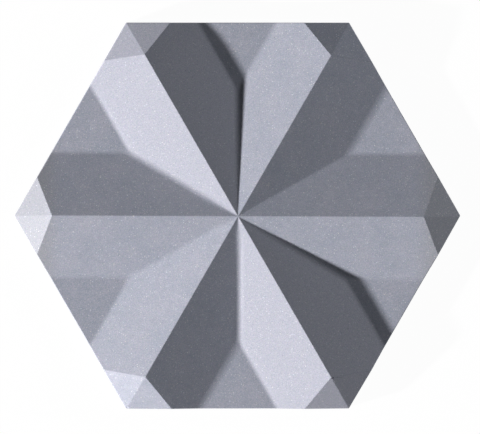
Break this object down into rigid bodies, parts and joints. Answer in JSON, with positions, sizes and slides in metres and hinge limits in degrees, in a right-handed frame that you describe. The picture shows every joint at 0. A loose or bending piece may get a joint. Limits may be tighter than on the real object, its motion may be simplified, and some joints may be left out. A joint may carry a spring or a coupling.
{
  "type": "microcement wall tile",
  "caption": "Hexagonal cement wall tile with a cast relief of low gabled arms, shallow valleys and flat triangles, on a flat back.",
  "frame": {"origin": "centre of the flat back, under the point where the ridges meet", "axes": "+Z out of the decorated face, +X towards one corner, +Y square to one pair of edges; the tile lies on its back"},
  "size_m": [0.3, 0.2598, 0.0305],
  "materials": {
    "microcement": "matte"
  },
  "bodies": {
    "root": {"tile": "microcement"}
  },
  "joints": []
}
